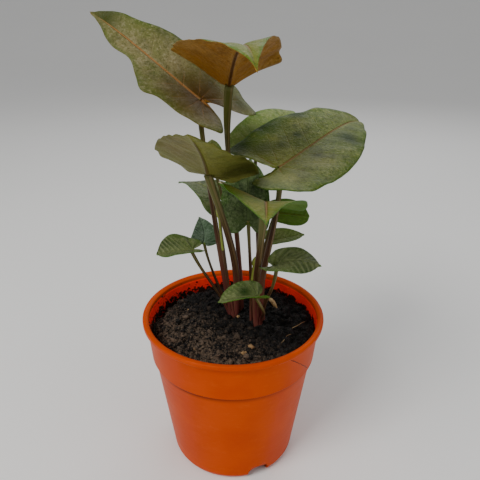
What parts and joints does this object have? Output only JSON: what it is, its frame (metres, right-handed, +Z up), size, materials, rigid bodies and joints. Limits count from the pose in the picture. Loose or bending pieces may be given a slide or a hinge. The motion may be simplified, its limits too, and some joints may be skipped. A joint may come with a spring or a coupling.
{
  "type": "potted arrowhead plant",
  "caption": "Arrowhead-leaved aroid house plant with copper-backed leaves on long stalks, in peat in a plain round nursery pot.",
  "frame": {"origin": "centre of the pot's underside, where it rests", "axes": "+Z up along the pot, -Y towards the front"},
  "size_m": [0.1753, 0.1932, 0.29],
  "materials": {
    "pot_plastic": "satin injection-moulded plastic",
    "soil": "matte crumbly peat",
    "stalk": "satin maroon stalk skin",
    "leaf_copper": "satin leaf, copper underneath",
    "leaf_green": "satin grey-green leaf",
    "leaf_dark": "satin dark green leaf"
  },
  "bodies": {
    "root": {"pot": "pot_plastic", "soil": "soil", "shoot_left": "stalk", "shoot_right": "stalk", "leaf_top_left": "leaf_copper", "leaf_top_front": "leaf_copper", "leaf_large_right": "leaf_green", "leaf_front_centre": "leaf_green", "leaf_left_middle": "leaf_copper", "leaf_under_right": "leaf_dark", "leaf_centre_shade": "leaf_dark", "leaf_left_behind": "leaf_green", "leaf_low_left": "leaf_green", "leaf_curled_left": "leaf_dark", "leaf_low_right": "leaf_green", "leaf_mid_right": "leaf_green", "leaf_front_low": "leaf_green", "leaf_back_right": "leaf_green", "leaf_back_left": "leaf_green"}
  },
  "joints": []
}
